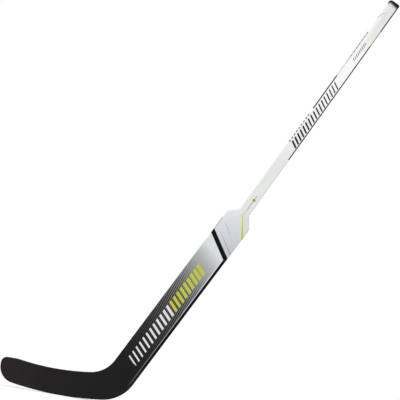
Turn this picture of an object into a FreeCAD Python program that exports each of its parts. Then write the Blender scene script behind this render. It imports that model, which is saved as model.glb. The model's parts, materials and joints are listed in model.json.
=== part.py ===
import FreeCAD, Part
import math
import os
import Sketcher

# Hockey goalie stick in its playing lie, in millimetres.
# The origin is the grip, where the shaft axis crosses the paddle axis. Z is up, the blade
# points to -X, the shaft leans to +X and the front faces of the stick look to -Y.
# Distances called "drop" run from the origin down an axis, "reach" run up it or to the toe.

doc = FreeCAD.newDocument("goalie_stick")
dims = doc.addObject("Spreadsheet::Sheet", "dims")

SIZES = [
    # lie and section of the stick
    ("paddle_lie", "63.1"),
    ("shaft_lie", "64.3"),
    ("paddle_width", "88"),
    ("shaft_width", "35"),
    ("stick_depth", "24"),
    ("edge_round", "4"),
    # sandwich of the paddle
    ("skin", "1.5"),
    ("rail_width", "10"),
    ("rib_gap", "44"),
    ("rib_web", "2"),
    # shoulder, downwards from the end of the shaft, with the blade on the left
    ("shaft_drop", "28"),
    ("left_collar", "9"),
    ("left_slope", "25"),
    ("left_corner_round", "8"),
    ("right_collar", "10"),
    ("right_slope", "35"),
    ("right_corner_round", "12"),
    ("collar_round", "10"),
    ("panel_margin", "20"),
    # shaft
    ("shaft_wall", "2"),
    ("shaft_reach", "727.5"),
    # bars that join the three lengths
    ("spigot_reach", "92"),
    ("spigot_drop", "176"),
    ("spigot_wall", "3.5"),
    ("tenon_width", "34"),
    ("tenon_depth", "16"),
    ("tenon_above", "80"),
    ("tenon_clear", "41.5"),
    ("bar_bevel", "2"),
    # butt end
    ("plug_length", "60"),
    ("plug_gap", "2"),
    ("plug_rib", "4"),
    ("plug_lead", "8"),
    ("plug_ribs", "4"),
    ("stub_width", "20"),
    ("stub_depth", "10"),
    ("stub_height", "6"),
    ("cap_lip", "1"),
    ("cap_left_round", "9"),
    ("cap_right_round", "5"),
    ("cap_bevel", "1.5"),
    # blade outline, seen from the front
    ("ice_drop", "670"),
    ("joint_margin", "33.3"),
    ("blade_height", "77"),
    ("blade_run", "317.6"),
    ("rocker_run", "124.1"),
    ("rocker_radius", "946"),
    ("top_run", "151.1"),
    ("top_radius", "721"),
    ("toe_flat", "49.8"),
    ("heel_radius", "112"),
    ("throat_radius", "88"),
    ("toe_top_radius", "18"),
    ("toe_low_radius", "50"),
    ("toe_blend_radius", "100"),
    # blade faces, seen from above
    ("scoop_margin", "4"),
    ("scoop_run", "65"),
    ("scoop_radius", "1060"),
    ("face_radius", "760"),
    ("bend_margin", "25"),
    ("toe_thickness", "11.5"),
    # inside of the blade
    ("binding_width", "10"),
    ("bridge_rise", "38"),
    ("bridge_web", "2"),
    # overshoot of cutting forms past the faces that they cut
    ("overshoot", "40"),
    ("clear_depth", "120"),
    # half sizes and angles
    ("paddle_lean", "=90 - paddle_lie"),
    ("shaft_lean", "=90 - shaft_lie"),
    ("kink", "=shaft_lie - paddle_lie"),
    ("lean_sine", "=sin(paddle_lean * 1 deg)"),
    ("lean_cosine", "=cos(paddle_lean * 1 deg)"),
    ("paddle_half", "=paddle_width / 2"),
    ("depth_half", "=stick_depth / 2"),
    ("core_depth", "=stick_depth - 2 * skin"),
    ("core_half", "=core_depth / 2"),
    ("panel_half", "=paddle_half - rail_width"),
    ("rib_inner", "=rib_gap / 2"),
    ("rib_outer", "=rib_inner + rib_web"),
    ("shaft_half", "=shaft_width / 2"),
    ("bore_half", "=shaft_half - shaft_wall"),
    ("bore_depth_half", "=depth_half - shaft_wall"),
    ("bore_round", "=edge_round - shaft_wall"),
    ("spigot_half", "=shaft_half - spigot_wall"),
    ("tenon_half", "=tenon_width / 2"),
    ("tenon_depth_half", "=tenon_depth / 2"),
    ("plug_half", "=bore_half - plug_gap"),
    ("plug_depth_half", "=bore_depth_half - plug_gap"),
    ("stub_half", "=stub_width / 2"),
    ("stub_depth_half", "=stub_depth / 2"),
    # places along the shaft and down the shoulder
    ("left_collar_drop", "=shaft_drop + left_collar"),
    ("left_corner_drop", "=left_collar_drop + left_slope"),
    ("right_collar_drop", "=shaft_drop + right_collar"),
    ("right_corner_drop", "=right_collar_drop + right_slope"),
    ("panel_drop", "=max(left_corner_drop; right_corner_drop) + panel_margin"),
    ("plug_start", "=shaft_reach - plug_length"),
    ("plug_pitch", "=(plug_length - plug_rib - plug_lead) / (plug_ribs - 1)"),
    ("cap_height", "=cap_left_round + cap_lip"),
    ("cap_reach", "=shaft_reach + cap_height"),
    # blade outline: runs are counted from where the paddle axis meets the ice
    ("heel_reach", "=ice_drop * lean_sine / lean_cosine"),
    ("toe_reach", "=heel_reach + blade_run"),
    ("rocker_offset", "=heel_reach + rocker_run"),
    ("rocker_rise", "=rocker_radius - ice_drop"),
    ("top_offset", "=heel_reach + top_run"),
    ("top_drop", "=ice_drop - blade_height"),
    ("top_rise", "=top_radius - top_drop"),
    ("toe_drop", "=sqrt(top_radius ^ 2 - (blade_run - toe_flat - top_run) ^ 2) - top_rise"),
    # joint of paddle and blade, clear of the throat, and its tenon, clear of the bridge
    ("throat_tangent", "=throat_radius * tan(paddle_lie / 2 * 1 deg)"),
    ("throat_drop", "=(top_drop + paddle_half * lean_sine) / lean_cosine"),
    ("joint_drop", "=throat_drop - throat_tangent - joint_margin"),
    ("joint_corner", "=joint_drop * lean_sine + paddle_half * lean_cosine"),
    ("tenon_drop", "=(ice_drop - bridge_rise - bridge_web - tenon_clear) / lean_cosine"),
    ("tenon_below", "=tenon_drop - joint_drop"),
    ("bridge_radius", "=rocker_radius - bridge_rise - bridge_web / 2"),
    # bevel that takes as much off the corner of the blade as the round takes off the paddle
    ("rim_bevel", "=edge_round * (2 - sqrt(2))"),
    # blade faces: the back bend ends at the toe thickness behind the front
    ("scoop_start", "=joint_corner + scoop_margin"),
    ("bend_start", "=joint_corner + bend_margin"),
    ("scoop_cosine", "=sqrt(1 - (scoop_run / scoop_radius) ^ 2)"),
    ("face_centre", "=scoop_start + scoop_run * (scoop_radius + face_radius) / scoop_radius"),
    ("face_depth", "=(scoop_radius + face_radius) * scoop_cosine - scoop_radius + depth_half"),
    ("toe_front", "=face_depth - sqrt(face_radius ^ 2 - (toe_reach - face_centre) ^ 2)"),
    ("back_sag", "=depth_half + toe_front - toe_thickness"),
    ("back_run", "=toe_reach - bend_start"),
    ("back_radius", "=(back_run ^ 2 + back_sag ^ 2) / (2 * back_sag)"),
    ("plan_reach", "=toe_reach + overshoot"),
]

for row, (alias, text) in enumerate(SIZES, 1):
    dims.set("A%d" % row, alias)
    dims.set("B%d" % row, text)
    dims.setAlias("B%d" % row, alias)
doc.recompute()

TINY = 0.01
FRONT_VIEW = "XZ_Plane"
SECTION = "XY_Plane"
ORIGIN_POINT = (-1, 1)
START, END, CENTRE = range(1, 4)


def size(alias):
    return float(dims.get(alias))


def vector(x, y):
    return FreeCAD.Vector(x, y, 0)


def new_body(label, lean=None):
    """A body whose Z axis leans from the vertical towards +X by the angle in the named cell."""
    body = doc.addObject("PartDesign::Body", label)
    body.Label = label
    if lean:
        upright = FreeCAD.Vector(0, 1, 0)
        body.Placement = FreeCAD.Placement(FreeCAD.Vector(), FreeCAD.Rotation(upright, size(lean)))
        body.setExpression("Placement.Rotation.Angle", "dims.%s * 1 deg" % lean)
    return body


def new_sketch(body, name, role, lift=None):
    """A sketch on one of the body's origin planes, lifted along its normal by a formula."""
    sketch = body.newObject("Sketcher::SketchObject", name)
    for plane in body.Origin.OriginFeatures:
        if plane.Role == role:
            sketch.AttachmentSupport = [(plane, "")]
    sketch.MapMode = "FlatFace"
    if lift:
        sketch.setExpression("AttachmentOffset.Base.z", lift)
    return sketch


def drive(sketch, kind, refs, value, formula):
    """A dimension of the sketch that follows a formula of the sheet."""
    index = sketch.addConstraint(Sketcher.Constraint(kind, *refs, value))
    sketch.setExpression("Constraints[%d]" % index, formula)


def place(sketch, axis, geometry, point, cell):
    """Set one coordinate of a point to the value of a cell, on the side that its sign says."""
    refs = (geometry, point) + ORIGIN_POINT if cell[0] == "-" else ORIGIN_POINT + (geometry, point)
    drive(sketch, "Distance" + axis, refs, size(cell[1:]), "dims." + cell[1:])


def chain(sketch, count, first=0):
    """Join the end of each piece of the outline to the start of the next."""
    for step in range(count):
        after = first + (step + 1) % count
        sketch.addConstraint(Sketcher.Constraint("Coincident", first + step, END, after, START))


def signed(cell):
    return -size(cell[1:]) if cell[0] == "-" else size(cell[1:])


def rectangle(sketch, left, right, low, high):
    """A rectangle whose four sides lie at signed cells."""
    first = sketch.GeometryCount
    corners = [
        vector(signed(left), signed(low)),
        vector(signed(right), signed(low)),
        vector(signed(right), signed(high)),
        vector(signed(left), signed(high)),
    ]
    for step in range(4):
        sketch.addGeometry(Part.LineSegment(corners[step], corners[(step + 1) % 4]), False)
    chain(sketch, 4, first)
    for step, kind in enumerate(("Horizontal", "Vertical", "Horizontal", "Vertical")):
        sketch.addConstraint(Sketcher.Constraint(kind, first + step))
    place(sketch, "Y", first, START, low)
    place(sketch, "X", first + 1, START, right)
    place(sketch, "Y", first + 2, START, high)
    place(sketch, "X", first + 3, START, left)


def section(sketch, half_width, half_depth):
    """A rectangle centred on the axis of its body."""
    rectangle(sketch, "-" + half_width, "+" + half_width, "-" + half_depth, "+" + half_depth)


def new_pad(body, name, sketch, length, both_ways=False, reverse=False):
    pad = body.newObject("PartDesign::Pad", name)
    pad.Profile = sketch
    pad.SideType = "Symmetric" if both_ways else "One side"
    pad.Reversed = reverse
    pad.setExpression("Length", length)
    sketch.Visibility = False
    doc.recompute()
    return pad


def new_pocket(body, name, sketch):
    """A cut along the normal of the sketch, right through the body."""
    pocket = body.newObject("PartDesign::Pocket", name)
    pocket.Profile = sketch
    pocket.Type = "ThroughAll"
    sketch.Visibility = False
    doc.recompute()
    return pocket


def edge_names(feature, test):
    return ["Edge%d" % number for number, edge in enumerate(feature.Shape.Edges, 1) if test(edge)]


def new_fillet(body, name, feature, test, radius):
    fillet = body.newObject("PartDesign::Fillet", name)
    fillet.Base = (feature, edge_names(feature, test))
    fillet.setExpression("Radius", radius)
    doc.recompute()
    return fillet


def new_chamfer(body, name, feature, test, bevel):
    chamfer = body.newObject("PartDesign::Chamfer", name)
    chamfer.Base = (feature, edge_names(feature, test))
    chamfer.setExpression("Size", bevel)
    doc.recompute()
    return chamfer


def along(edge, axis):
    """True for a straight edge that runs along the given axis."""
    if not isinstance(edge.Curve, Part.Line):
        return False
    return abs(abs(edge.Curve.Direction.dot(axis)) - 1) < TINY


AXIS_X = FreeCAD.Vector(1, 0, 0)
AXIS_Y = FreeCAD.Vector(0, 1, 0)
AXIS_Z = FreeCAD.Vector(0, 0, 1)


def lengthwise(edge):
    return along(edge, AXIS_Z)


def crosswise(edge, x, z):
    """True for an edge through the depth of the stick at the given place of the front view."""
    middle = edge.CenterOfMass
    return along(edge, AXIS_Y) and math.hypot(middle.x - x, middle.z - z) < TINY


def level(edge, height):
    """True for an edge that lies flat at one height of its body."""
    box = edge.BoundBox
    return abs(box.ZMin - height) < TINY and abs(box.ZMax - height) < TINY


def face_tilt(shape, edge):
    """Normals of the two faces that meet at an edge, taken at its middle."""
    middle = edge.valueAt((edge.FirstParameter + edge.LastParameter) / 2)
    normals = []
    for face in shape.ancestorsOfType(edge, Part.Face):
        u, v = face.Surface.parameter(middle)
        normals.append(face.normalAt(u, v))
    return normals


def rim(feature, end_axes):
    """A test for the edges between a broad face and the wall round the outline, ends left out."""
    shape = feature.Shape

    def test(edge):
        normals = face_tilt(shape, edge)
        walls = [normal for normal in normals if abs(normal.y) < TINY]
        if len(normals) != 2 or len(walls) != 1:
            return False
        return all(abs(abs(walls[0].dot(axis)) - 1) > 1e-6 for axis in end_axes)

    return test


def boolean(kind, label, base, tool):
    result = doc.addObject(kind, label)
    result.Label = label
    result.Base = base
    result.Tool = tool
    doc.recompute()
    return result


def cut(label, base, tool):
    return boolean("Part::Cut", label, base, tool)


def common(label, base, tool):
    return boolean("Part::Common", label, base, tool)


# Bars


def rounded_bar(label, start, length, half_width, half_depth, corner):
    """A bar along the shaft axis with its four lengthwise edges rounded."""
    body = new_body(label, "shaft_lean")
    profile = new_sketch(body, label + "_section", SECTION, start)
    section(profile, half_width, half_depth)
    bar = new_pad(body, label + "_bar", profile, length)
    return body, new_fillet(body, label + "_corners", bar, lengthwise, corner)


def make_shaft_tenon():
    """The bar fills the bore of the shaft and steps down to a spigot for the shoulder and paddle."""
    body, _ = rounded_bar("shaft_tenon", "-dims.shaft_drop", "dims.shaft_drop + dims.spigot_reach",
                          "bore_half", "bore_depth_half", "dims.bore_round")
    lower = new_sketch(body, "spigot_section", SECTION, "-dims.shaft_drop")
    section(lower, "spigot_half", "tenon_depth_half")
    bar = new_pad(body, "spigot", lower, "dims.spigot_drop - dims.shaft_drop", reverse=True)
    low = -size("spigot_drop")
    new_chamfer(body, "spigot_end", bar, lambda edge: level(edge, low), "dims.bar_bevel")
    return body


def make_heel_tenon():
    body = new_body("heel_tenon", "paddle_lean")
    profile = new_sketch(body, "tenon_section", SECTION, "-dims.tenon_drop")
    section(profile, "tenon_half", "tenon_depth_half")
    bar = new_pad(body, "tenon_bar", profile, "dims.tenon_above + dims.tenon_below")
    bar = new_chamfer(body, "tenon_corners", bar, lengthwise, "dims.bar_bevel")
    ends = (-size("tenon_drop"), size("tenon_above") - size("joint_drop"))
    new_chamfer(body, "tenon_ends", bar,
                lambda edge: any(level(edge, height) for height in ends), "dims.bar_bevel")
    return body


# Shaft and butt end


def bore_corner(edge):
    """True for a lengthwise edge at a corner of the shaft's bore."""
    middle = edge.CenterOfMass
    in_width = abs(abs(middle.x) - size("bore_half")) < TINY
    return lengthwise(edge) and in_width and abs(abs(middle.y) - size("bore_depth_half")) < TINY


def make_shaft_tube():
    body, _ = rounded_bar("shaft_tube", "-dims.shaft_drop", "dims.shaft_drop + dims.shaft_reach",
                          "shaft_half", "depth_half", "dims.edge_round")
    inner = new_sketch(body, "tube_bore_section", SECTION, "dims.shaft_reach")
    section(inner, "bore_half", "bore_depth_half")
    tube = new_pocket(body, "tube_bore", inner)
    new_fillet(body, "tube_bore_corners", tube, bore_corner, "dims.bore_round")
    return body


def make_butt_plug():
    """A slim core with a row of ribs that grip the bore, and a stub that carries the cap."""
    body = new_body("butt_plug", "shaft_lean")
    core = new_sketch(body, "plug_section", SECTION, "dims.plug_start")
    section(core, "plug_half", "plug_depth_half")
    new_pad(body, "plug_core", core, "dims.plug_length")
    stub = new_sketch(body, "stub_section", SECTION, "dims.shaft_reach")
    section(stub, "stub_half", "stub_depth_half")
    new_pad(body, "stub", stub, "dims.stub_height")
    ring = new_sketch(body, "rib_section", SECTION, "dims.shaft_reach")
    section(ring, "bore_half", "bore_depth_half")
    rib = new_pad(body, "plug_rib_pad", ring, "dims.plug_rib", reverse=True)
    pattern = body.newObject("PartDesign::LinearPattern", "plug_rib_row")
    pattern.Originals = [rib]
    pattern.Direction = (ring, ["N_Axis"])
    pattern.Reversed = True
    pattern.setExpression("Length", "dims.plug_pitch * (dims.plug_ribs - 1)")
    pattern.setExpression("Occurrences", "dims.plug_ribs")
    body.Tip = pattern
    doc.recompute()
    new_fillet(body, "plug_rib_corners", pattern, bore_corner, "dims.bore_round")
    return body


def make_butt_cap(plug):
    """An end block of the shaft's section, rounder on the blade side, that sits on the plug's stub."""
    body = new_body("cap_form", "shaft_lean")
    outline = new_sketch(body, "cap_outline", FRONT_VIEW)
    rectangle(outline, "-shaft_half", "+shaft_half", "+shaft_reach", "+cap_reach")
    cap = new_pad(body, "cap_block", outline, "dims.stick_depth", both_ways=True)
    top = size("cap_reach")
    half = size("shaft_half")
    for name, x in (("cap_left", -half), ("cap_right", half)):
        cap = new_fillet(body, name, cap, lambda edge, x=x: crosswise(edge, x, top), "dims.%s_round" % name)
    new_chamfer(body, "cap_rim", cap, rim(cap, (AXIS_Z,)), "dims.cap_bevel")
    bar, _ = rounded_bar("cap_bar", "dims.shaft_reach", "dims.cap_height",
                         "shaft_half", "depth_half", "dims.edge_round")
    return cut("butt_cap", common("cap_block_form", body, bar), plug)


# Shoulder


def shoulder_outline(sketch):
    """From the width of the paddle up two unlike slopes to a collar that follows the leaning shaft."""
    turn = math.radians(size("kink"))
    up = vector(-math.sin(turn), math.cos(turn))
    across = vector(math.cos(turn), math.sin(turn))
    half = size("paddle_half")
    corners = [
        vector(-half, -size("panel_drop")),
        vector(half, -size("panel_drop")),
        vector(half, -size("right_corner_drop")),
        up * -size("right_collar_drop") + across * size("shaft_half"),
        up * -size("shaft_drop") + across * size("shaft_half"),
        up * -size("shaft_drop") - across * size("shaft_half"),
        up * -size("left_collar_drop") - across * size("shaft_half"),
        vector(-half, -size("left_corner_drop")),
    ]
    count = len(corners)
    for step in range(count):
        sketch.addGeometry(Part.LineSegment(corners[step], corners[(step + 1) % count]), False)
    base, right, right_collar, top, left_collar, left = 0, 1, 3, 4, 5, 7
    spine = sketch.addGeometry(Part.LineSegment(up * -size("shaft_drop"), vector(0, 0)), True)
    chain(sketch, count)
    sketch.addConstraint(Sketcher.Constraint("Horizontal", base))
    sketch.addConstraint(Sketcher.Constraint("Vertical", right))
    sketch.addConstraint(Sketcher.Constraint("Vertical", left))
    place(sketch, "X", base, START, "-paddle_half")
    place(sketch, "X", base, END, "+paddle_half")
    place(sketch, "Y", base, START, "-panel_drop")
    place(sketch, "Y", right, END, "-right_corner_drop")
    place(sketch, "Y", left, START, "-left_corner_drop")
    sketch.addConstraint(Sketcher.Constraint("Coincident", spine, END, *ORIGIN_POINT))
    drive(sketch, "Distance", (spine,), size("shaft_drop"), "dims.shaft_drop")
    drive(sketch, "Angle", (spine,), math.radians(90 + size("kink")), "(90 + dims.kink) * 1 deg")
    sketch.addConstraint(Sketcher.Constraint("Perpendicular", top, spine))
    sketch.addConstraint(Sketcher.Constraint("Symmetric", top, START, top, END, spine, START))
    drive(sketch, "Distance", (top,), size("shaft_width"), "dims.shaft_width")
    for side, cell in ((right_collar, "right_collar"), (left_collar, "left_collar")):
        sketch.addConstraint(Sketcher.Constraint("Parallel", side, spine))
        drive(sketch, "Distance", (side,), size(cell), "dims." + cell)
    return corners, up


def make_shoulder_block(spigot):
    body = new_body("shoulder_form", "paddle_lean")
    outline = new_sketch(body, "shoulder_outline", FRONT_VIEW)
    corners, up = shoulder_outline(outline)
    form = new_pad(body, "shoulder_pad", outline, "dims.stick_depth", both_ways=True)
    for name, spot in (("right_corner", corners[2]), ("left_corner", corners[7])):
        form = new_fillet(body, name, form,
                          lambda edge, spot=spot: crosswise(edge, spot.x, spot.y), "dims.%s_round" % name)
    collars = (corners[3], corners[6])
    form = new_fillet(body, "collar_corners", form,
                      lambda edge: any(crosswise(edge, spot.x, spot.y) for spot in collars),
                      "dims.collar_round")
    collar_axis = FreeCAD.Vector(up.x, 0, up.y)
    new_fillet(body, "shoulder_rim", form, rim(form, (AXIS_Z, collar_axis)), "dims.edge_round")
    return cut("shoulder_block", body, spigot)


# Paddle


def make_strip(label, left, right, depth):
    """A straight length of the paddle between two places of its width, about the middle plane."""
    body = new_body(label, "paddle_lean")
    front = new_sketch(body, label + "_outline", FRONT_VIEW)
    rectangle(front, left, right, "-joint_drop", "-panel_drop")
    pad = new_pad(body, label + "_pad", front, depth, both_ways=True)
    return body, pad


def make_rail(label, left, right):
    body, pad = make_strip(label, left, right, "dims.stick_depth")
    outside = size("paddle_half")
    new_fillet(body, label + "_rounds", pad,
               lambda edge: lengthwise(edge) and abs(abs(edge.CenterOfMass.x) - outside) < TINY,
               "dims.edge_round")
    return body


def make_panel_skin(label, lift):
    body = new_body(label, "paddle_lean")
    front = new_sketch(body, label + "_outline", FRONT_VIEW, lift)
    rectangle(front, "-panel_half", "+panel_half", "-joint_drop", "-panel_drop")
    new_pad(body, label + "_pad", front, "dims.skin")
    return body


def make_paddle(spigot, tenon):
    pieces = [
        make_panel_skin("paddle_front_skin", "dims.core_half"),
        make_panel_skin("paddle_back_skin", "-dims.depth_half"),
        make_rail("paddle_left_rail", "-paddle_half", "-panel_half"),
        make_rail("paddle_right_rail", "+panel_half", "+paddle_half"),
    ]
    for label, left, right in (
        ("paddle_left_foam", "-panel_half", "-rib_outer"),
        ("paddle_left_rib", "-rib_outer", "-rib_inner"),
        ("paddle_right_rib", "+rib_inner", "+rib_outer"),
        ("paddle_right_foam", "+rib_outer", "+panel_half"),
    ):
        pieces.append(make_strip(label, left, right, "dims.core_depth")[0])
    middle = make_strip("middle_block", "-rib_inner", "+rib_inner", "dims.core_depth")[0]
    socketed = cut("middle_with_heel_socket", middle, tenon)
    pieces.append(cut("paddle_centre_foam", socketed, spigot))
    return pieces


# Blade


def lowest_meeting(start, heading, centre, radius):
    """The lower of the two places where a straight line meets a circle."""
    offset = start - centre
    reach = offset.dot(heading)
    root = math.sqrt(reach * reach - offset.dot(offset) + radius * radius)
    return start + heading * (-reach - root)


def arc_between(centre, radius, first, last):
    """An arc that runs anticlockwise from one point to another."""
    circle = Part.Circle(centre, FreeCAD.Vector(0, 0, 1), radius)
    first_bearing = math.atan2(first.y - centre.y, first.x - centre.x)
    last_bearing = math.atan2(last.y - centre.y, last.x - centre.x)
    return Part.ArcOfCircle(circle, first_bearing, last_bearing)


def blade_outline(sketch, inset, overlap):
    """Toe, rocker, heel edge, joint, throat edge, top and toe flat, with sharp corners.

    The inset moves every edge but the joint inwards, and the overlap moves the joint up the paddle.
    """
    inset_size = size(inset) if inset else 0
    less = " - dims." + inset if inset else ""
    more = " + dims." + inset if inset else ""
    lean = math.radians(size("paddle_lean"))
    heading = vector(math.sin(lean), math.cos(lean))
    across = vector(math.cos(lean), -math.sin(lean))
    rocker_centre = vector(-size("rocker_offset"), size("rocker_rise"))
    top_centre = vector(-size("top_offset"), size("top_rise"))
    half = size("paddle_half") - inset_size
    joint = size("joint_drop") - (size(overlap) if overlap else 0)
    top = size("top_radius") + inset_size
    low = size("rocker_radius") - inset_size
    toe = -(size("toe_reach") - inset_size)
    flat = -(size("toe_drop") + inset_size)
    up = vector(0, 1)
    heel_joint = heading * -joint + across * half
    throat_joint = heading * -joint - across * half
    heel = lowest_meeting(heel_joint, heading, rocker_centre, low)
    throat = lowest_meeting(throat_joint, heading, top_centre, top)
    toe_low = lowest_meeting(vector(toe, 0), up, rocker_centre, low)
    toe_top = vector(toe, flat)
    blend = lowest_meeting(vector(0, flat), vector(1, 0), top_centre, top)

    outline = [
        Part.LineSegment(toe_top, toe_low),
        arc_between(rocker_centre, low, toe_low, heel),
        Part.LineSegment(heel, heel_joint),
        Part.LineSegment(heel_joint, throat_joint),
        Part.LineSegment(throat_joint, throat),
        arc_between(top_centre, top, blend, throat),
        Part.LineSegment(blend, toe_top),
    ]
    toe_edge, rocker, heel_edge, joint_edge, throat_edge, top_edge, toe_flat = [
        sketch.addGeometry(piece, False) for piece in outline]
    for before, after in ((toe_edge, rocker), (rocker, heel_edge), (heel_edge, joint_edge),
                          (joint_edge, throat_edge), (toe_flat, toe_edge)):
        sketch.addConstraint(Sketcher.Constraint("Coincident", before, END, after, START))
    sketch.addConstraint(Sketcher.Constraint("Coincident", throat_edge, END, top_edge, END))
    sketch.addConstraint(Sketcher.Constraint("Coincident", top_edge, START, toe_flat, START))
    place(sketch, "X", rocker, CENTRE, "-rocker_offset")
    place(sketch, "Y", rocker, CENTRE, "+rocker_rise")
    drive(sketch, "Radius", (rocker,), low, "dims.rocker_radius" + less)
    place(sketch, "X", top_edge, CENTRE, "-top_offset")
    place(sketch, "Y", top_edge, CENTRE, "+top_rise")
    drive(sketch, "Radius", (top_edge,), top, "dims.top_radius" + more)
    sketch.addConstraint(Sketcher.Constraint("Vertical", toe_edge))
    drive(sketch, "DistanceX", (toe_edge, START) + ORIGIN_POINT, -toe, "dims.toe_reach" + less)
    sketch.addConstraint(Sketcher.Constraint("Horizontal", toe_flat))
    drive(sketch, "DistanceY", (toe_flat, START) + ORIGIN_POINT, -flat, "dims.toe_drop" + more)
    drive(sketch, "Angle", (heel_edge,), math.pi / 2 - lean, "dims.paddle_lie * 1 deg")
    sketch.addConstraint(Sketcher.Constraint("Parallel", heel_edge, throat_edge))
    sketch.addConstraint(Sketcher.Constraint("Perpendicular", heel_edge, joint_edge))
    drive(sketch, "Distance", ORIGIN_POINT + (heel_edge,), half, "dims.paddle_half" + less)
    drive(sketch, "Distance", ORIGIN_POINT + (throat_edge,), half, "dims.paddle_half" + less)
    joint_formula = "dims.joint_drop" + (" - dims." + overlap if overlap else "")
    drive(sketch, "Distance", ORIGIN_POINT + (joint_edge,), joint, joint_formula)
    return toe_low, toe_top, blend, throat, heel


def make_outline_prism(label, inset=None, overlap=None):
    """The blade seen from the front, as a prism with its corners rounded."""
    body = new_body(label)
    outline = new_sketch(body, label + "_outline", FRONT_VIEW)
    corners = blade_outline(outline, inset, overlap)
    form = new_pad(body, label + "_pad", outline, "2 * dims.clear_depth", both_ways=True)
    less = " - dims." + inset if inset else ""
    more = " + dims." + inset if inset else ""
    names = ("toe_low", "toe_top", "toe_blend", "throat", "heel")
    for name, corner in zip(names, corners):
        radius = "dims.%s_radius" % name + (more if name == "throat" else less)
        form = new_fillet(body, "%s_%s" % (label, name), form,
                          lambda edge, spot=corner: crosswise(edge, spot.x, spot.y), radius)
    return body, form


def close_plan(sketch, first, last, far):
    """Close a plan curve with three straight sides at a far line on the named side."""
    curve_start = sketch.getPoint(first, START)
    curve_end = sketch.getPoint(last, END)
    far_y = signed(far)
    toe_side = sketch.addGeometry(Part.LineSegment(curve_end, vector(curve_end.x, far_y)), False)
    far_side = sketch.addGeometry(
        Part.LineSegment(vector(curve_end.x, far_y), vector(curve_start.x, far_y)), False)
    grip_side = sketch.addGeometry(Part.LineSegment(vector(curve_start.x, far_y), curve_start), False)
    for before, after in ((last, toe_side), (toe_side, far_side), (far_side, grip_side),
                          (grip_side, first)):
        sketch.addConstraint(Sketcher.Constraint("Coincident", before, END, after, START))
    sketch.addConstraint(Sketcher.Constraint("Vertical", toe_side))
    sketch.addConstraint(Sketcher.Constraint("Horizontal", far_side))
    sketch.addConstraint(Sketcher.Constraint("Vertical", grip_side))
    place(sketch, "X", toe_side, START, "-plan_reach")
    place(sketch, "Y", far_side, START, far)


def front_plan(sketch, inset, far):
    """Front of the blade from above: flat heel, a hollow behind it, then the forward bend."""
    inset_size = size(inset) if inset else 0
    less = " - dims." + inset if inset else ""
    more = " + dims." + inset if inset else ""
    start = size("scoop_start")
    flat = -(size("depth_half") - inset_size)
    scoop = size("scoop_radius") - inset_size
    face = size("face_radius") + inset_size
    angle = math.asin(size("scoop_run") / size("scoop_radius"))
    scoop_centre = vector(-start, flat + scoop)
    face_centre = scoop_centre - vector(math.sin(angle), math.cos(angle)) * (scoop + face)
    toe_bearing = math.acos((-size("plan_reach") - face_centre.x) / face)
    heel_flat = sketch.addGeometry(Part.LineSegment(vector(0, flat), vector(-start, flat)), False)
    normal = FreeCAD.Vector(0, 0, 1)
    hollow = sketch.addGeometry(
        Part.ArcOfCircle(Part.Circle(scoop_centre, normal, scoop),
                         1.5 * math.pi - angle, 1.5 * math.pi), False)
    bend = sketch.addGeometry(
        Part.ArcOfCircle(Part.Circle(face_centre, normal, face),
                         math.pi / 2 - angle, toe_bearing), False)
    sketch.addConstraint(Sketcher.Constraint("Horizontal", heel_flat))
    sketch.addConstraint(Sketcher.Constraint("Tangent", heel_flat, END, hollow, END))
    sketch.addConstraint(Sketcher.Constraint("Tangent", hollow, START, bend, START))
    sketch.addConstraint(Sketcher.Constraint("PointOnObject", heel_flat, START, -2))
    drive(sketch, "DistanceY", (heel_flat, START) + ORIGIN_POINT, -flat, "dims.depth_half" + less)
    place(sketch, "X", heel_flat, END, "-scoop_start")
    drive(sketch, "Radius", (hollow,), scoop, "dims.scoop_radius" + less)
    drive(sketch, "Radius", (bend,), face, "dims.face_radius" + more)
    place(sketch, "X", bend, CENTRE, "-face_centre")
    close_plan(sketch, heel_flat, bend, far)


def back_plan(sketch, inset, far):
    """Back of the blade from above: flat heel, then one bend that follows the front."""
    inset_size = size(inset) if inset else 0
    less = " - dims." + inset if inset else ""
    start = size("bend_start")
    flat = size("depth_half") - inset_size
    radius = size("back_radius") - inset_size
    centre = vector(-start, flat - radius)
    toe_bearing = math.acos((-size("plan_reach") - centre.x) / radius)
    heel_flat = sketch.addGeometry(Part.LineSegment(vector(0, flat), vector(-start, flat)), False)
    bend = sketch.addGeometry(
        Part.ArcOfCircle(Part.Circle(centre, FreeCAD.Vector(0, 0, 1), radius),
                         math.pi / 2, toe_bearing), False)
    sketch.addConstraint(Sketcher.Constraint("Horizontal", heel_flat))
    sketch.addConstraint(Sketcher.Constraint("Tangent", heel_flat, END, bend, START))
    sketch.addConstraint(Sketcher.Constraint("PointOnObject", heel_flat, START, -2))
    drive(sketch, "DistanceY", ORIGIN_POINT + (heel_flat, START), flat, "dims.depth_half" + less)
    place(sketch, "X", heel_flat, END, "-bend_start")
    drive(sketch, "Radius", (bend,), radius, "dims.back_radius" + less)
    close_plan(sketch, heel_flat, bend, far)


def make_blade_form():
    """The outline prism trimmed to the two bent faces, with its rim bevelled."""
    body, form = make_outline_prism("blade_form")
    front = new_sketch(body, "front_waste", SECTION)
    front_plan(front, None, "-clear_depth")
    form = new_pocket(body, "front_trim", front)
    back = new_sketch(body, "back_waste", SECTION)
    back_plan(back, None, "+clear_depth")
    form = new_pocket(body, "back_trim", back)
    lean = math.radians(size("paddle_lean"))
    joint_axis = FreeCAD.Vector(math.sin(lean), 0, math.cos(lean))
    new_chamfer(body, "blade_rim", form, rim(form, (joint_axis,)), "dims.rim_bevel")
    return body


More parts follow.
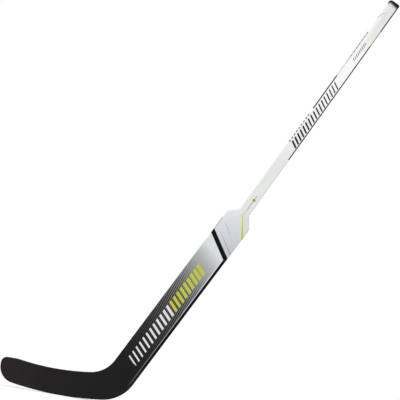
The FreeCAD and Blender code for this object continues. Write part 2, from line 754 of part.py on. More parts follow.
def make_drum(label, radius):
    """A drum about the centre of the rocker, through the depth of the blade."""
    drum = doc.addObject("Part::Cylinder", label)
    drum.setExpression("Radius", radius)
    drum.setExpression("Height", "2 * dims.clear_depth")
    drum.Placement = FreeCAD.Placement(FreeCAD.Vector(), FreeCAD.Rotation(AXIS_X, 90))
    drum.setExpression("Placement.Base.x", "-dims.rocker_offset")
    drum.setExpression("Placement.Base.y", "dims.clear_depth")
    drum.setExpression("Placement.Base.z", "dims.rocker_rise")
    doc.recompute()
    return drum


def make_blade(tenon):
    """A full-depth binding round the outline, and within it two skins over foam and a bridge."""
    form = make_blade_form()
    field = make_outline_prism("blade_field_form", "binding_width", "overshoot")[0]
    binding = cut("blade_edge_binding", form, field)
    inside = common("blade_field", form, field)
    reach_down = "dims.ice_drop + dims.overshoot"
    behind_front = new_body("behind_front_skin")
    front = new_sketch(behind_front, "front_skin_back", SECTION)
    front_plan(front, "skin", "+clear_depth")
    new_pad(behind_front, "behind_front_pad", front, reach_down, reverse=True)
    before_back = new_body("before_back_skin")
    back = new_sketch(before_back, "back_skin_front", SECTION)
    back_plan(back, "skin", "-clear_depth")
    new_pad(before_back, "before_back_pad", back, reach_down, reverse=True)
    front_skin = cut("blade_front_skin", inside, behind_front)
    back_skin = cut("blade_back_skin", inside, before_back)
    foam = common("blade_foam", common("blade_behind_front", inside, behind_front), before_back)
    inner_drum = make_drum("above_bridge", "dims.bridge_radius")
    outer_drum = make_drum("down_to_bridge", "dims.bridge_radius + dims.bridge_web")
    lower = cut("blade_lower_foam", foam, outer_drum)
    bridge = cut("blade_bridge", common("blade_foam_to_bridge", foam, outer_drum), inner_drum)
    upper = cut("blade_upper_foam", common("blade_foam_above", foam, inner_drum), tenon)
    return [front_skin, back_skin, binding, upper, lower, bridge]


shaft_tenon = make_shaft_tenon()
heel_tenon = make_heel_tenon()
butt_plug = make_butt_plug()
parts = [shaft_tenon, heel_tenon, make_shaft_tube(), butt_plug, make_butt_cap(butt_plug),
         make_shoulder_block(shaft_tenon)]
parts += make_paddle(shaft_tenon, heel_tenon)
parts += make_blade(heel_tenon)
doc.recompute()

for item in doc.Objects:
    if "Invalid" in item.State or "Error" in item.State:
        raise RuntimeError("%s did not build" % item.Label)

os.makedirs("parts", exist_ok=True)
for piece in parts:
    shape = piece.Shape
    if shape.isNull() or not shape.isValid() or len(shape.Solids) != 1:
        raise RuntimeError("%s is not one valid solid" % piece.Label)
    shape.exportStep("parts/%s.step" % piece.Label)
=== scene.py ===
import json
import math
from collections import namedtuple

import bpy
from mathutils import Matrix, Vector


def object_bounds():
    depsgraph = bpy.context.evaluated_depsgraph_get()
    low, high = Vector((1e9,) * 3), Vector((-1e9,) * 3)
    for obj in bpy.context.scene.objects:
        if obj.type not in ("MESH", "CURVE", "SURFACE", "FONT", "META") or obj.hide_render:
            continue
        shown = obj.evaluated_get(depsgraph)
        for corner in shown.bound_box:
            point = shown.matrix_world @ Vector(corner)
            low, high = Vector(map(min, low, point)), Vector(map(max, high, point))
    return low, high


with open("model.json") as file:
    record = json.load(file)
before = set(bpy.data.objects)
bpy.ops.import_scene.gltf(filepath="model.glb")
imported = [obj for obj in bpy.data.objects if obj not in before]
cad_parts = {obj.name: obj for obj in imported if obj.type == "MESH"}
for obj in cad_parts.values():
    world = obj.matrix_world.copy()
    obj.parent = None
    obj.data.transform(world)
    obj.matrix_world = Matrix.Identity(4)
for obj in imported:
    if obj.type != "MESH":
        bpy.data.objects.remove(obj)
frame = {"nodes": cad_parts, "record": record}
cad_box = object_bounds()

MM_PER_M = 1000

# Directions in the plane of the stick. Places on it are counted from the grip, in millimetres:
# up the axis of the paddle or the shaft, and across it with the heel side positive.
PADDLE_LEAN = math.radians(26.9)
SHAFT_LEAN = math.radians(25.7)
UP_PADDLE = Vector((math.sin(PADDLE_LEAN), 0, math.cos(PADDLE_LEAN)))
ACROSS_PADDLE = Vector((math.cos(PADDLE_LEAN), 0, -math.sin(PADDLE_LEAN)))
UP_SHAFT = Vector((math.sin(SHAFT_LEAN), 0, math.cos(SHAFT_LEAN)))
ACROSS_SHAFT = Vector((math.cos(SHAFT_LEAN), 0, -math.sin(SHAFT_LEAN)))
TO_HEEL = Vector((1, 0, 0))
TO_BACK = Vector((0, 1, 0))
FRONT_FACE = -12

# The arc of the blade's lower edge, with its centre in metres
ROCKER_CENTRE = Vector((-0.464, 0, 0.276))
ROCKER_RADIUS = 946

# Directions of threads and scratches
BLADE_TWILL = (Vector((0.7071, 0, 0.7071)), Vector((0.7071, 0, -0.7071)))
PADDLE_TWILL = ((UP_PADDLE + ACROSS_PADDLE).normalized(), (UP_PADDLE - ACROSS_PADDLE).normalized())
ACROSS_WALES = UP_PADDLE * 0.15 + ACROSS_PADDLE * 0.99
SCRATCHES = Vector((1, 0, 0.06)).normalized()


# Colours


def srgb(red, green, blue):
    """A screen colour from 0 to 255 as the linear values that a shader takes."""
    parts = []
    for part in (red / 255, green / 255, blue / 255):
        parts.append(part / 12.92 if part <= 0.04045 else ((part + 0.055) / 1.055) ** 2.4)
    return (*parts, 1.0)


def grey(level):
    return srgb(level, level, level)


SCREEN_GAMMA = 2.2
WHITE = grey(255)
BLACK = grey(8)
SILVER = srgb(218, 221, 223)
WARM_SILVER = srgb(230, 220, 224)
WARM_WHITE = srgb(221, 219, 215)
SHAFT_WHITE = srgb(228, 229, 232)
BRIGHT_WHITE = grey(250)
MARK_WHITE = grey(222)
MARK_YELLOW = srgb(192, 194, 64)
MARK_BLACK = grey(34)
MARK_GREY = grey(118)
STRIPE_YELLOW = srgb(224, 224, 182)
STRIPE_CORE = srgb(178, 179, 92)
SIDE_LINE = grey(40)
SHOULDER_HAIRLINE = srgb(112, 116, 124)
SHOULDER_EDGE = grey(80)
COLLAR_HAIRLINE = srgb(120, 121, 116)
DOT_OLIVE = srgb(146, 151, 78)
DOT_GLOW = srgb(228, 230, 186)
SWEEP_GREY = srgb(140, 142, 146)
SCUFF_GREY = grey(86)
RUBBER_BLACK = grey(18)
RUBBER_SPECK = grey(36)
PLUG_GREY = grey(62)
WEB_GREY = grey(46)
FOAM_CREAM = srgb(236, 226, 200)
WOOD_DARK = srgb(186, 144, 96)
WOOD_LIGHT = srgb(224, 190, 142)

# Colours that change with a place in millimetres
# The blade's tones are painted lighter towards the toe: painted light, where the blade's curve turns to
# the light
BLADE_TONES_LIT_TO_TOE = [(-660, srgb(38, 33, 34)), (-520, srgb(29, 25, 26)), (-300, srgb(20, 20, 20))]
SHOULDER_TONES = [(-200, srgb(190, 194, 199)), (-100, srgb(211, 216, 221)), (-15, srgb(229, 230, 230))]
SHAFT_TONES = [
    (-30, srgb(226, 228, 228)), (140, srgb(227, 229, 232)), (330, grey(246)), (540, BRIGHT_WHITE),
    (660, SHAFT_WHITE)]
SHAFT_PATCHES = [(28, 112, srgb(232, 236, 214)), (582, 636, srgb(228, 233, 204))]


# Layout of the print, with its lengths in millimetres. A fall is how far a slanted edge drops for each
# step to the heel side.

# The paddle's faces turn into its rounded edges at this distance from the axis
FACE_EDGE = 41.5

# The fade from silver at its top to its least level, and the wales that show through it
FADE_FALL = 0.25
FADE_TOP = -186.5
FADE_HALVES_OVER = 60.8
FADE_ROUNDING = 0.15
FADE_LEAST = 0.0045
WALE_WIDTH = 2.9
WALE_CONTRAST = 1.95

# The black band, under which the shoulder begins, and the black edge
BAND_FALL = 0.568
BAND = (-170.2, -154.5)
SHOULDER_FOOT = -157
BLACK_EDGE = 35.0

# The light line inside the black edge, a painted highlight of the crease there: its place, and how light
# it is on a screen, from 0 to 1
HIGHLIGHT_LINE_PLACE = 34.3
HIGHLIGHT_LINE_WIDTH = 2.0
HIGHLIGHT_LINE_FOOT = -668
EDGE_LIGHT_AT_GRIP = 1.331
EDGE_LIGHT_PER_MM = 0.0015
EDGE_LIGHT_MOST = 0.94

# The stripe on the shoulder, which runs down the axis to its turn. Below the turn its line is square to a
# direction up and across the paddle, and passes the grip at an offset along that direction.
STRIPE_PLACE = 2.4
STRIPE_TURN = -50
STRIPE_SQUARE = (0.609, 0.793)
STRIPE_OFFSET = -28.47
STRIPE_HALF = 3.3
STRIPE_WIDENING = 0.055
CORE_DRIFTS_FROM = -60
CORE_DRIFT = 0.036

# The bars of a row stand at whole multiples of its pitch. Their width changes by a growth up the row.
BarRow = namedtuple("BarRow", "fall pitch first last width growth left right")
PADDLE_BARS = BarRow(
    fall=0.36, pitch=17.0, first=-35, last=-15, width=16.8, growth=0.02, left=-17.5, right=16.5)
SHAFT_BARS = BarRow(
    fall=0.55, pitch=13.5, first=16, last=32, width=9.6, growth=-0.012, left=-9.2, right=12.6)
BUTT_BARS = BarRow(
    fall=0.55, pitch=7.2, first=73, last=81, width=3.2, growth=0.0, left=-4.5, right=3.5)


class Paint:
    """A material made of small expressions of where a point lies on the stick, in millimetres."""

    def __init__(self, name):
        self.material = bpy.data.materials.new(name)
        self.material.use_nodes = True
        self.nodes = self.material.node_tree.nodes
        self.links = self.material.node_tree.links
        self.nodes.clear()
        self.shader = self.nodes.new("ShaderNodeBsdfPrincipled")
        output = self.nodes.new("ShaderNodeOutputMaterial")
        self.links.new(self.shader.outputs["BSDF"], output.inputs["Surface"])
        self.spot = self.nodes.new("ShaderNodeTexCoord").outputs["Object"]

    def feed(self, socket, value):
        """Link an expression to a socket, or set a plain value on the socket itself."""
        if isinstance(value, bpy.types.NodeSocket):
            self.links.new(value, socket)
        elif socket.type == "VECTOR":
            socket.default_value = value[:3]
        else:
            socket.default_value = value

    def math(self, kind, *values):
        node = self.nodes.new("ShaderNodeMath")
        node.operation = kind
        for socket, value in zip(node.inputs, values):
            self.feed(socket, value)
        return node.outputs[0]

    def vector(self, kind, first, second):
        node = self.nodes.new("ShaderNodeVectorMath")
        node.operation = kind
        self.feed(node.inputs[0], first)
        self.feed(node.inputs["Scale" if kind == "SCALE" else 1], second)
        return node

    def times(self, product, *values):
        for value in values:
            product = self.math("MULTIPLY", product, value)
        return product

    def total(self, start, *shares):
        """A start plus other values, each given as a pair of a factor and the value."""
        for factor, value in shares:
            start = self.math("MULTIPLY_ADD", value, factor, start)
        return start

    def plus(self, value, other):
        return self.math("ADD", value, other)

    def minus(self, value, other):
        return self.math("SUBTRACT", value, other)

    def size(self, value):
        return self.math("ABSOLUTE", value)

    def larger(self, value, other):
        return self.math("MAXIMUM", value, other)

    def smaller(self, value, other):
        return self.math("MINIMUM", value, other)

    def along(self, direction):
        """How far a point lies along a direction, in millimetres."""
        return self.vector("DOT_PRODUCT", self.spot, direction * MM_PER_M).outputs["Value"]

    def from_point(self, point):
        """How far a point lies from one that is given in metres, in millimetres."""
        return self.times(self.vector("DISTANCE", self.spot, point).outputs["Value"], MM_PER_M)

    def rise(self, value, start, end):
        """0 at start and 1 at end, smooth between, whichever of them is the lower."""
        node = self.nodes.new("ShaderNodeMapRange")
        node.interpolation_type = "SMOOTHSTEP"
        self.feed(node.inputs["Value"], value)
        node.inputs["From Min"].default_value = start
        node.inputs["From Max"].default_value = end
        return node.outputs["Result"]

    def band(self, value, low, high, soft=0.3):
        """1 between low and high, with edges that are soft by so many millimetres."""
        above = self.rise(value, low - soft, low + soft)
        below = self.rise(value, high + soft, high - soft)
        return self.times(above, below)

    def line(self, value, centre, width, soft=0.3):
        """1 within half the width of a centre."""
        apart = self.size(self.minus(value, centre))
        return self.rise(apart, width / 2 + soft, width / 2 - soft)

    def bars(self, value, pitch, half, first, last, soft=0.3):
        """1 on bars at the first to last multiple of a pitch, whose half width may be an expression."""
        apart = self.math("PINGPONG", value, pitch / 2)
        bars = self.rise(self.minus(half, apart), -soft, soft)
        return self.times(bars, self.band(value, (first - 0.5) * pitch, (last + 0.5) * pitch))

    def mix(self, mask, under, over):
        """One colour laid over another where the mask is 1."""
        node = self.nodes.new("ShaderNodeMix")
        node.data_type = "RGBA"
        # the node has sockets for other types of value too, so its colours are not the first in line
        for socket, value in zip((node.inputs[0], node.inputs[6], node.inputs[7]), (mask, under, over)):
            self.feed(socket, value)
        return node.outputs[2]

    def shade(self, colour, factor):
        """The colour made lighter or darker by a factor."""
        return self.vector("SCALE", colour, factor).outputs["Vector"]

    def ramp(self, value, stops):
        """A colour that runs through stops, each a place in millimetres and a colour."""
        low, high = stops[0][0], stops[-1][0]
        share = self.nodes.new("ShaderNodeMapRange")
        self.feed(share.inputs["Value"], value)
        share.inputs["From Min"].default_value = low
        share.inputs["From Max"].default_value = high
        node = self.nodes.new("ShaderNodeValToRGB")
        self.links.new(share.outputs["Result"], node.inputs["Fac"])
        elements = node.color_ramp.elements
        while len(elements) < len(stops):
            elements.new(1.0)
        for element, (place, colour) in zip(elements, stops):
            element.position = (place - low) / (high - low)
            element.color = colour
        return node.outputs["Color"]

    def squeezed(self, direction, factor):
        """Where a point lies, with its way along a direction divided by a factor."""
        change = self.times(self.along(direction), (1 / factor - 1) / MM_PER_M)
        shift = self.shade(direction, change)
        return self.vector("ADD", self.spot, shift).outputs["Vector"]

    def noise(self, size, detail=3, grain=None, stretch=1):
        """Noise from 0 to 1 with lumps of a size in millimetres, drawn out along a grain if it has one."""
        node = self.nodes.new("ShaderNodeTexNoise")
        spot = self.spot if grain is None else self.squeezed(grain, stretch)
        self.links.new(spot, node.inputs["Vector"])
        node.inputs["Scale"].default_value = MM_PER_M / size
        node.inputs["Detail"].default_value = detail
        return node.outputs["Fac"]

    def cells(self, per_metre):
        """Round cells, from 0 at their middles towards 1 at their walls."""
        node = self.nodes.new("ShaderNodeTexVoronoi")
        self.links.new(self.spot, node.inputs["Vector"])
        node.inputs["Scale"].default_value = per_metre
        return self.rise(node.outputs["Distance"], 0.0, 0.7)

    def weave(self, first, second, cell):
        """1 where the threads of the first direction lie on top and 0 where those of the second do."""
        node = self.nodes.new("ShaderNodeTexChecker")
        spot = self.nodes.new("ShaderNodeCombineXYZ")
        self.feed(spot.inputs["X"], self.along(first))
        self.feed(spot.inputs["Y"], self.along(second))
        spot.inputs["Z"].default_value = 0.5
        self.links.new(spot.outputs["Vector"], node.inputs["Vector"])
        node.inputs["Scale"].default_value = 1 / cell
        node.inputs["Color1"].default_value = (1, 1, 1, 1)
        node.inputs["Color2"].default_value = (0, 0, 0, 1)
        return node.outputs["Fac"]

    def threads(self, first, second, cell):
        """Height of a plain weave: rounded threads that pass over and under each other."""
        crowns = []
        for direction in (first, second):
            apart = self.math("PINGPONG", self.along(direction), cell / 2)
            crowns.append(self.rise(apart, 0.0, cell / 2))
        over = self.weave(first, second, cell)
        under = self.minus(1.0, over)
        return self.plus(self.times(over, crowns[0]), self.times(under, crowns[1]))

    def finish(self, colour, roughness, specular, height, depth):
        """The material with its surface, and a relief whose depth is in millimetres."""
        self.feed(self.shader.inputs["Base Color"], colour)
        self.feed(self.shader.inputs["Roughness"], roughness)
        self.feed(self.shader.inputs["Specular IOR Level"], specular)
        bump = self.nodes.new("ShaderNodeBump")
        bump.inputs["Distance"].default_value = depth / MM_PER_M
        self.feed(bump.inputs["Height"], height)
        self.links.new(bump.outputs["Normal"], self.shader.inputs["Normal"])
        return self.material


# Blade


def painted_crease_highlight(paint, colour):
    """A painted highlight: a light line inside the paddle's black edge that stands for light caught on its
    crease, and gets brighter up the stick from the heel.
    """
    up = paint.along(UP_PADDLE)
    line = paint.line(paint.along(ACROSS_PADDLE), HIGHLIGHT_LINE_PLACE, HIGHLIGHT_LINE_WIDTH)
    line = paint.times(line, paint.rise(up, HIGHLIGHT_LINE_FOOT, HIGHLIGHT_LINE_FOOT + 20))
    on_screen = paint.total(EDGE_LIGHT_AT_GRIP, (EDGE_LIGHT_PER_MM, up))
    on_screen = paint.smaller(on_screen, EDGE_LIGHT_MOST)
    light = paint.shade(WHITE, paint.math("POWER", on_screen, SCREEN_GAMMA))
    return paint.mix(line, colour, light)


def black_laminate(name, worn):
    """Matte black laminate with a faint weave, scuffed at the ice. It has painted light: a little lighter
    to the toe, where its curve turns to the light, and the painted highlight line inside the black edge.
    """
    paint = Paint(name)
    cloud = paint.noise(60)
    threads = paint.threads(*BLADE_TWILL, cell=2.6)
    # painted light: lighter to the toe, where the curve turns to the light
    colour = paint.ramp(paint.along(TO_HEEL), BLADE_TONES_LIT_TO_TOE)
    colour = paint.shade(colour, paint.total(0.78, (0.32, cloud), (0.12, threads)))
    # painted highlight: the light line inside the black edge, for light caught on the crease
    colour = painted_crease_highlight(paint, colour)

    low = paint.rise(paint.from_point(ROCKER_CENTRE), ROCKER_RADIUS - 34, ROCKER_RADIUS - 2)
    scratches = paint.rise(paint.noise(9, detail=5, grain=SCRATCHES, stretch=7), 0.56, 0.74)
    scuff = paint.times(low, scratches, worn)
    colour = paint.mix(scuff, colour, SCUFF_GREY)

    roughness = paint.total(0.5, (0.14, cloud), (0.2, scuff))
    height = paint.total(paint.times(threads, 0.7), (0.5, paint.noise(1.4, detail=2)))
    return paint.finish(colour, roughness, specular=0.1, height=height, depth=0.08)


# Paddle and shoulder


def bar_row(paint, up, across, row):
    """1 on the slanted bars of a row."""
    place = paint.total(up, (row.fall, across))
    half = paint.total(row.width / 2, (row.growth / 2, place))
    bars = paint.bars(place, row.pitch, half, row.first, row.last)
    return paint.times(bars, paint.band(across, row.left, row.right))


def weave_strength(paint, place, across):
    """How far the weave shows through the fade: on the faces alone, and most in the middle of the fade."""
    on_face = paint.rise(paint.size(across), FACE_EDGE - 0.1, FACE_EDGE - 1.5)
    below_silver = paint.rise(place, -215, -400)
    lost_in_black = paint.rise(place, -450, -620)
    return paint.times(below_silver, paint.total(1.0, (-0.4, lost_in_black)), on_face)


def paddle_fade(paint, place, threads, woven):
    """Silver at the top, and half as light for every 61 mm down the paddle, over lengthwise wales."""
    halvings = paint.total(-FADE_TOP / FADE_HALVES_OVER, (1 / FADE_HALVES_OVER, place))
    level = paint.math("SMOOTH_MIN", paint.math("POWER", 2.0, halvings), 1.0, FADE_ROUNDING)
    level = paint.plus(level, FADE_LEAST)
    tint = paint.mix(paint.rise(place, -300, -520), SILVER, WARM_SILVER)
    from_gap = paint.math("PINGPONG", paint.along(ACROSS_WALES), WALE_WIDTH)
    wales = paint.total(paint.times(threads, 0.1), (0.9, paint.rise(from_gap, 0.9, 2.0)))
    contrast = paint.times(paint.minus(wales, 0.5), WALE_CONTRAST)
    return paint.shade(paint.shade(tint, level), paint.total(1.0, (contrast, woven)))


def paddle_marks(paint, up, across, colour):
    """A row of slanted bars that get wider up the paddle, white below and yellow above."""
    place = paint.total(up, (PADDLE_BARS.fall, across))
    mark = paint.mix(paint.rise(place, -398, -397), MARK_WHITE, MARK_YELLOW)
    return paint.mix(bar_row(paint, up, across, PADDLE_BARS), colour, mark)


def shoulder_silver(paint, up, across, slope):
    """Silver that gets paler upwards, with two hairlines and a dark stretch of its left edge."""
    silver = paint.ramp(paint.total(up, (-0.88, across)), SHOULDER_TONES)
    long_hair = paint.times(paint.line(slope, centre=-140, width=1.9), paint.rise(across, -34, 16))
    short_hair = paint.times(paint.line(slope, centre=-112, width=1.3), paint.band(across, -26, 4, soft=6))
    hairs = paint.times(paint.plus(long_hair, short_hair), 0.85)
    silver = paint.mix(hairs, silver, SHOULDER_HAIRLINE)
    left_edge = paint.rise(across, -FACE_EDGE - 0.1, -FACE_EDGE - 0.9)
    left_edge = paint.times(left_edge, paint.band(up, -130, -88, soft=4), 0.8)
    return paint.mix(left_edge, silver, SHOULDER_EDGE)


def stripe_inside(paint, turned, upright, aslant, half):
    """How far a point lies inside the edge of the stripe, whose line is upright and then aslant."""
    upright = paint.size(upright)
    apart = paint.total(upright, (turned, paint.minus(paint.size(aslant), upright)))
    return paint.minus(half, apart)


def shoulder_stripe(paint, up, across, silver):
    """A yellow stripe with a darker core, down the axis and then aslant, where both get wider."""
    upright = paint.minus(across, STRIPE_PLACE)
    aslant = paint.total(-STRIPE_OFFSET, (STRIPE_SQUARE[0], up), (STRIPE_SQUARE[1], across))
    turned = paint.rise(up, STRIPE_TURN + 1.0, STRIPE_TURN - 0.5)
    beyond = paint.times(paint.rise(aslant, 0.0, 4.0), turned)
    silver = paint.mix(paint.times(beyond, 0.6), silver, WARM_WHITE)

    below_turn = paint.larger(paint.minus(STRIPE_TURN, up), 0.0)
    half = paint.total(STRIPE_HALF, (STRIPE_WIDENING, below_turn))
    drift = paint.times(paint.larger(paint.minus(CORE_DRIFTS_FROM, up), 0.0), CORE_DRIFT)
    core_half = paint.total(paint.times(half, 0.32), (0.6, drift))

    inside = stripe_inside(paint, turned, upright, aslant, half)
    core_inside = stripe_inside(paint, turned, upright, paint.plus(aslant, drift), core_half)
    core = paint.times(paint.rise(core_inside, -0.6, 0.6), paint.total(0.3, (-0.006, up)))
    rim = paint.times(paint.rise(inside, -3.5, -2.9), 0.3)
    stripe = paint.larger(paint.rise(inside, -0.3, 0.3), rim)
    stripe = paint.times(stripe, paint.rise(up, -28, -30))
    return paint.mix(stripe, silver, paint.mix(core, STRIPE_YELLOW, STRIPE_CORE))


def black_parts(paint, across, slope):
    """1 on the slanted band under the shoulder and on the paddle's edge below it."""
    below_shoulder = paint.rise(slope, SHOULDER_FOOT + 0.5, SHOULDER_FOOT - 0.5)
    edge = paint.times(paint.rise(across, BLACK_EDGE, BLACK_EDGE + 0.6), below_shoulder)
    return paint.larger(paint.band(slope, *BAND), edge)


def paddle_print(name):
    """The paddle and the shoulder: a fade over weave, bars, a black band and edge, and striped silver."""
    paint = Paint(name)
    up = paint.along(UP_PADDLE)
    across = paint.along(ACROSS_PADDLE)
    fade = paint.total(up, (FADE_FALL, across))
    slope = paint.total(up, (BAND_FALL, across))
    threads = paint.threads(*PADDLE_TWILL, cell=3.1)
    cloud = paint.noise(45)
    woven = weave_strength(paint, fade, across)

    paddle = paddle_fade(paint, fade, threads, woven)
    paddle = paddle_marks(paint, up, across, paddle)
    # painted highlight: the light line inside the black edge, for light caught on the crease
    paddle = painted_crease_highlight(paint, paddle)
    shoulder = shoulder_silver(paint, up, across, slope)
    shoulder = shoulder_stripe(paint, up, across, shoulder)
    black = black_parts(paint, across, slope)
    colour = paint.mix(paint.rise(slope, SHOULDER_FOOT, SHOULDER_FOOT + 1), paddle, shoulder)
    colour = paint.mix(black, colour, paint.shade(BLACK, paint.total(0.8, (0.4, cloud))))
    colour = paint.shade(colour, paint.total(0.975, (0.05, cloud)))

    # the gloss is rubbed dull in streaks where the faces turn into the edges
    edges = paint.rise(paint.size(across), FACE_EDGE, FACE_EDGE + 2.1)
    streaks = paint.rise(paint.noise(7, detail=5, grain=UP_PADDLE, stretch=4), 0.5, 0.72)
    roughness = paint.total(0.36, (0.1, cloud), (0.2, paint.times(edges, streaks)))
    orange_peel = paint.noise(2.5, detail=2)
    height = paint.total(paint.times(orange_peel, 0.35), (0.4, paint.times(threads, woven)))
    return paint.finish(colour, roughness, specular=0.08, height=height, depth=0.05)


# Shaft and butt


def on_shaft(up, across):
    """The point of the shaft's front face at a place in millimetres, in metres."""
    return (UP_SHAFT * up + ACROSS_SHAFT * across + TO_BACK * FRONT_FACE) / MM_PER_M


def shaft_white(paint, up, across, cloud):
    """White with two yellowish patches, and a painted highlight: a whiter strip at the blade side, where
    the edge begins to round over.
    """
    white = paint.ramp(up, SHAFT_TONES)
    white = paint.shade(white, paint.total(0.98, (0.04, cloud)))
    for start, end, tint in SHAFT_PATCHES:
        patch = paint.times(paint.band(up, start, end, soft=26), paint.band(across, -5, 9, soft=6))
        white = paint.mix(paint.times(patch, 0.5), white, tint)
    # painted highlight: a whiter strip along the blade side, for light on the rounding edge
    painted_highlight_strip = paint.times(paint.rise(across, -3, -9), paint.band(up, 440, 700, soft=40))
    return paint.mix(paint.times(painted_highlight_strip, 0.7), white, BRIGHT_WHITE)


def collar_dot(paint, up, across, colour):
    """A hairline up the collar that runs through a dot with a soft glow."""
    hair = paint.times(paint.line(across, centre=2.2, width=1.9), paint.band(up, -30, 24, soft=1))
    colour = paint.mix(hair, colour, COLLAR_HAIRLINE)
    from_dot = paint.from_point(on_shaft(8, 2.1))
    glow = paint.times(paint.rise(from_dot, 8.0, 4.5), 0.8)
    colour = paint.mix(glow, colour, DOT_GLOW)
    return paint.mix(paint.rise(from_dot, 4.9, 4.3), colour, DOT_OLIVE)


def heel_side_line(paint, up, across):
    """A black line printed on the heel side, paler in one stretch near the butt. Below its start only a
    faint trace is left, which is painted shade on the rounded edge.
    """
    # below the start, the faint part of the line is painted shade on the rounded edge, not print
    started = paint.total(0.05, (0.95, paint.rise(up, 166, 168)))
    paler = paint.total(1.0, (-0.45, paint.band(up, 586, 640, soft=2)))
    return paint.times(paint.rise(across, 13.6, 14.2), started, paler)


def blade_side_line(paint, up, across):
    """A broken line: dashes, then a dark run, then two pale runs with dots on the upper one."""
    dashes = paint.bars(up, pitch=12, half=3.5, first=18, last=26)
    dark = paint.band(up, 336, 458, soft=1)
    pale = paint.times(paint.band(up, 460, 508, soft=1), 0.34)
    pale = paint.total(pale, (0.48, paint.band(up, 508, 618, soft=1)))
    dots = paint.bars(up, pitch=14, half=2.5, first=38, last=44)
    runs = paint.larger(paint.times(dots, 0.75), pale)
    line = paint.total(paint.plus(runs, dark), (0.8, dashes))
    return paint.times(line, paint.band(across, -16.6, -12.9))


def butt_sweep(paint, up, across):
    """A fine arc below the butt, on the front face alone, that fades out at the axis."""
    arc = paint.line(paint.from_point(on_shaft(665.3, 23.7)), centre=40.6, width=1.7)
    ends = paint.times(paint.rise(across, 1, -7), paint.rise(up, 664, 671))
    on_front = paint.rise(paint.along(TO_BACK), FRONT_FACE + 3.0, FRONT_FACE + 1.8)
    return paint.times(arc, ends, on_front, 0.8)


def end_fade(paint):
    """The soft change from the white of the shaft to the black of its end cap."""
    across = paint.along(ACROSS_SHAFT)
    corner = paint.rise(across, -11.5, -14.0)
    place = paint.total(paint.along(UP_SHAFT), (0.16, across), (5.0, corner))
    return paint.rise(place, 719.3, 731.8)


def shaft_print(name):
    """White gloss paint with side lines, slanted bars, fine lines and a fade to black under the cap."""
    paint = Paint(name)
    up = paint.along(UP_SHAFT)
    across = paint.along(ACROSS_SHAFT)
    cloud = paint.noise(70)
    side_lines = paint.larger(heel_side_line(paint, up, across), blade_side_line(paint, up, across))

    colour = shaft_white(paint, up, across, cloud)
    colour = collar_dot(paint, up, across, colour)
    colour = paint.mix(bar_row(paint, up, across, SHAFT_BARS), colour, MARK_BLACK)
    colour = paint.mix(bar_row(paint, up, across, BUTT_BARS), colour, MARK_GREY)
    colour = paint.mix(side_lines, colour, SIDE_LINE)
    colour = paint.mix(butt_sweep(paint, up, across), colour, SWEEP_GREY)
    colour = paint.mix(end_fade(paint), colour, BLACK)
    roughness = paint.total(0.3, (0.1, cloud))
    orange_peel = paint.noise(2.5, detail=2)
    return paint.finish(colour, roughness, specular=0.2, height=orange_peel, depth=0.02)


def rubber(name):
    """Matte black rubber with a fine grain, which starts in the white of the shaft."""
    paint = Paint(name)
    grain = paint.noise(0.9)
    colour = paint.shade(RUBBER_BLACK, paint.total(0.75, (0.5, paint.noise(14))))
    colour = paint.mix(paint.rise(grain, 0.62, 0.78), colour, RUBBER_SPECK)
    colour = paint.mix(end_fade(paint), SHAFT_WHITE, colour)
    roughness = paint.total(0.62, (0.2, grain))
    return paint.finish(colour, roughness, specular=0.12, height=grain, depth=0.12)


# Inner pieces


def moulded(name):
    """Grey moulded plastic with a fine grain."""
    paint = Paint(name)
    grain = paint.noise(1.6)
    colour = paint.shade(PLUG_GREY, paint.total(0.85, (0.3, paint.noise(20))))
    roughness = paint.total(0.42, (0.15, grain))
    return paint.finish(colour, roughness, specular=0.35, height=grain, depth=0.06)


def cell_foam(name):
    """Cream foam with closed cells."""
    paint = Paint(name)
    cells = paint.cells(per_metre=700)
    colour = paint.shade(FOAM_CREAM, paint.total(0.86, (0.14, cells)))
    roughness = paint.total(0.75, (0.1, cells))
    return paint.finish(colour, roughness, specular=0.2, height=cells, depth=0.3)


def bare_web(name):
    """Unpainted laminate with its weave."""
    paint = Paint(name)
    threads = paint.threads(*PADDLE_TWILL, cell=2.0)
    colour = paint.shade(WEB_GREY, paint.total(0.75, (0.5, threads)))
    roughness = paint.total(0.45, (0.1, threads))
    return paint.finish(colour, roughness, specular=0.3, height=threads, depth=0.1)


def sanded_wood(name):
    """Sanded hardwood with its fibres along the stick."""
    paint = Paint(name)
    fibre = paint.noise(3.5, detail=5, grain=UP_PADDLE, stretch=14)
    rings = paint.noise(18, detail=2, grain=UP_PADDLE, stretch=9)
    colour = paint.mix(fibre, WOOD_DARK, WOOD_LIGHT)
    colour = paint.shade(colour, paint.total(0.85, (0.25, rings)))
    roughness = paint.total(0.55, (0.2, fibre))
    return paint.finish(colour, roughness, specular=0.25, height=fibre, depth=0.15)


MATERIALS = {
    "blade_laminate": black_laminate("blade_laminate", worn=0.1),
    "edge_binding": black_laminate("edge_binding", worn=0.14),
    "paddle_print": paddle_print("paddle_print"),
    "rail_print": paddle_print("rail_print"),
    "rail_black": paddle_print("rail_black"),
    "shoulder_paint": paddle_print("shoulder_paint"),
    "shaft_paint": shaft_print("shaft_paint"),
    "cap_rubber": rubber("cap_rubber"),
    "plug_plastic": moulded("plug_plastic"),
    "foam": cell_foam("foam"),
    "web": bare_web("web"),
    "tenon": sanded_wood("tenon"),
}

for subpart in frame["record"]["subparts"]:
    mesh = frame["nodes"][subpart["node"]].data
    mesh.materials.clear()
    mesh.materials.append(MATERIALS[subpart["material_slot"]])


# Floor, light and camera

SENSOR_WIDTH = 36


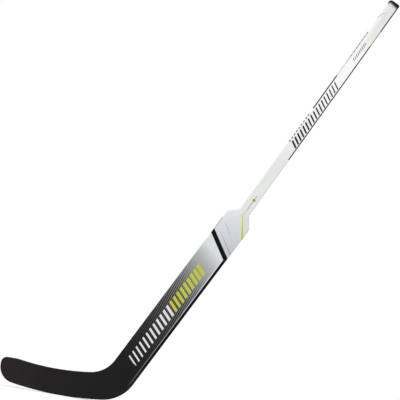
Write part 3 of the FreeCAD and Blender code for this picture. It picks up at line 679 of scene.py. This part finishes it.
def make_floor(height, radius, sides):
    """A round floor, all but white, that keeps the shadow."""
    corners = []
    for side in range(sides):
        turn = side * math.tau / sides
        corners.append((radius * math.cos(turn), radius * math.sin(turn), height))
    mesh = bpy.data.meshes.new("floor")
    mesh.from_pydata(corners, [], [range(sides)])
    floor = bpy.data.objects.new("floor", mesh)
    bpy.context.scene.collection.objects.link(floor)
    paint = Paint("floor")
    speck = paint.noise(220)
    colour = paint.shade(BRIGHT_WHITE, paint.total(0.99, (0.02, speck)))
    mesh.materials.append(paint.finish(colour, roughness=0.9, specular=0.0, height=speck, depth=0.1))


def make_sun(name, strength, spread, towards):
    """A sun whose disc is spread over so many degrees, which shines towards a direction."""
    lamp = bpy.data.lights.new(name, "SUN")
    lamp.energy = strength
    lamp.angle = math.radians(spread)
    sun = bpy.data.objects.new(name, lamp)
    sun.rotation_euler = Vector(towards).to_track_quat("-Z", "Y").to_euler()
    bpy.context.scene.collection.objects.link(sun)


def make_world(light):
    """Even light on the object from all round, seen as plain white by the camera and in gloss."""
    world = bpy.data.worlds.new("studio")
    bpy.context.scene.world = world
    world.use_nodes = True
    nodes, links = world.node_tree.nodes, world.node_tree.links
    back = nodes["Background"]
    back.inputs["Color"].default_value = (1, 1, 1, 1)
    rays = nodes.new("ShaderNodeLightPath")
    seen = rays.outputs["Is Camera Ray"]
    for name in ("Is Glossy Ray", "Is Transmission Ray"):
        either = nodes.new("ShaderNodeMath")
        either.operation = "MAXIMUM"
        links.new(seen, either.inputs[0])
        links.new(rays.outputs[name], either.inputs[1])
        seen = either.outputs[0]
    strength = nodes.new("ShaderNodeMapRange")
    links.new(seen, strength.inputs["Value"])
    strength.inputs["To Min"].default_value = light
    links.new(strength.outputs["Result"], back.inputs["Strength"])


def make_camera(target, width, distance, roll):
    """A long lens straight on to the front, which takes in the given width at the target."""
    data = bpy.data.cameras.new("camera")
    data.sensor_width = SENSOR_WIDTH
    data.lens = SENSOR_WIDTH * distance / width
    data.clip_end = 4 * distance
    camera = bpy.data.objects.new("camera", data)
    facing = Matrix.Rotation(math.radians(90), 4, "X") @ Matrix.Rotation(math.radians(roll), 4, "Z")
    camera.matrix_world = Matrix.Translation(Vector(target) + Vector((0, -distance, 0))) @ facing
    bpy.context.scene.collection.objects.link(camera)
    bpy.context.scene.camera = camera


make_floor(cad_box[0].z, radius=9.0, sides=96)
make_sun("key", strength=1.7, spread=24, towards=(0.45, 0.37, -0.81))
make_sun("fill", strength=0.6, spread=40, towards=(-0.58, 0.44, -0.68))
make_world(light=0.48)
make_camera((-0.1542, 0, -0.0205), width=1.2, distance=40, roll=10)
bpy.context.scene.view_settings.view_transform = "Standard"
